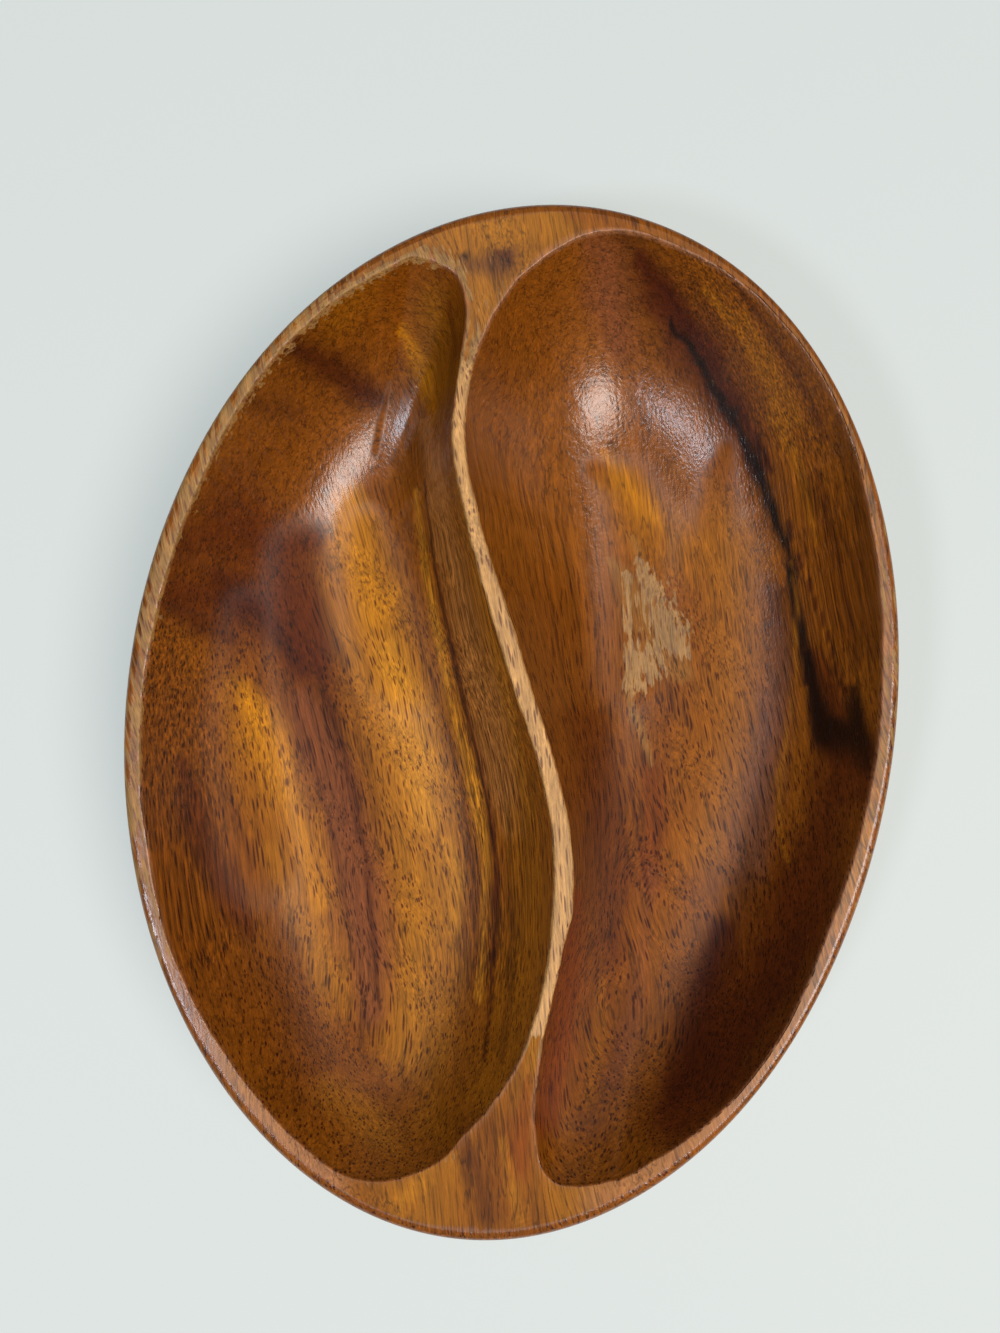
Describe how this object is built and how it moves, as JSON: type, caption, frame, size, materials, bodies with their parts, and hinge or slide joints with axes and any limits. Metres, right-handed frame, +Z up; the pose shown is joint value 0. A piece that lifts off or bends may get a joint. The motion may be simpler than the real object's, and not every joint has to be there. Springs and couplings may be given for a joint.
{
  "type": "divided serving bowl",
  "caption": "Shallow oval serving bowl carved from dark lacquered wood, with an S-curved divider between two long wells and a worn flat rim.",
  "frame": {"origin": "centre of the bowl's bounding box, on the table plane under the flat foot", "axes": "+Z up out of the wells, +Y along the oval's long axis towards its slightly wider end, +X across it so that seen from above +X is to the right of +Y"},
  "size_m": [0.225, 0.305, 0.05],
  "materials": {
    "lacquered_wood": "clear lacquer over dark tropical hardwood, worn to bare wood on the rim and divider"
  },
  "bodies": {
    "root": {"carved_bowl": "lacquered_wood"}
  },
  "joints": []
}
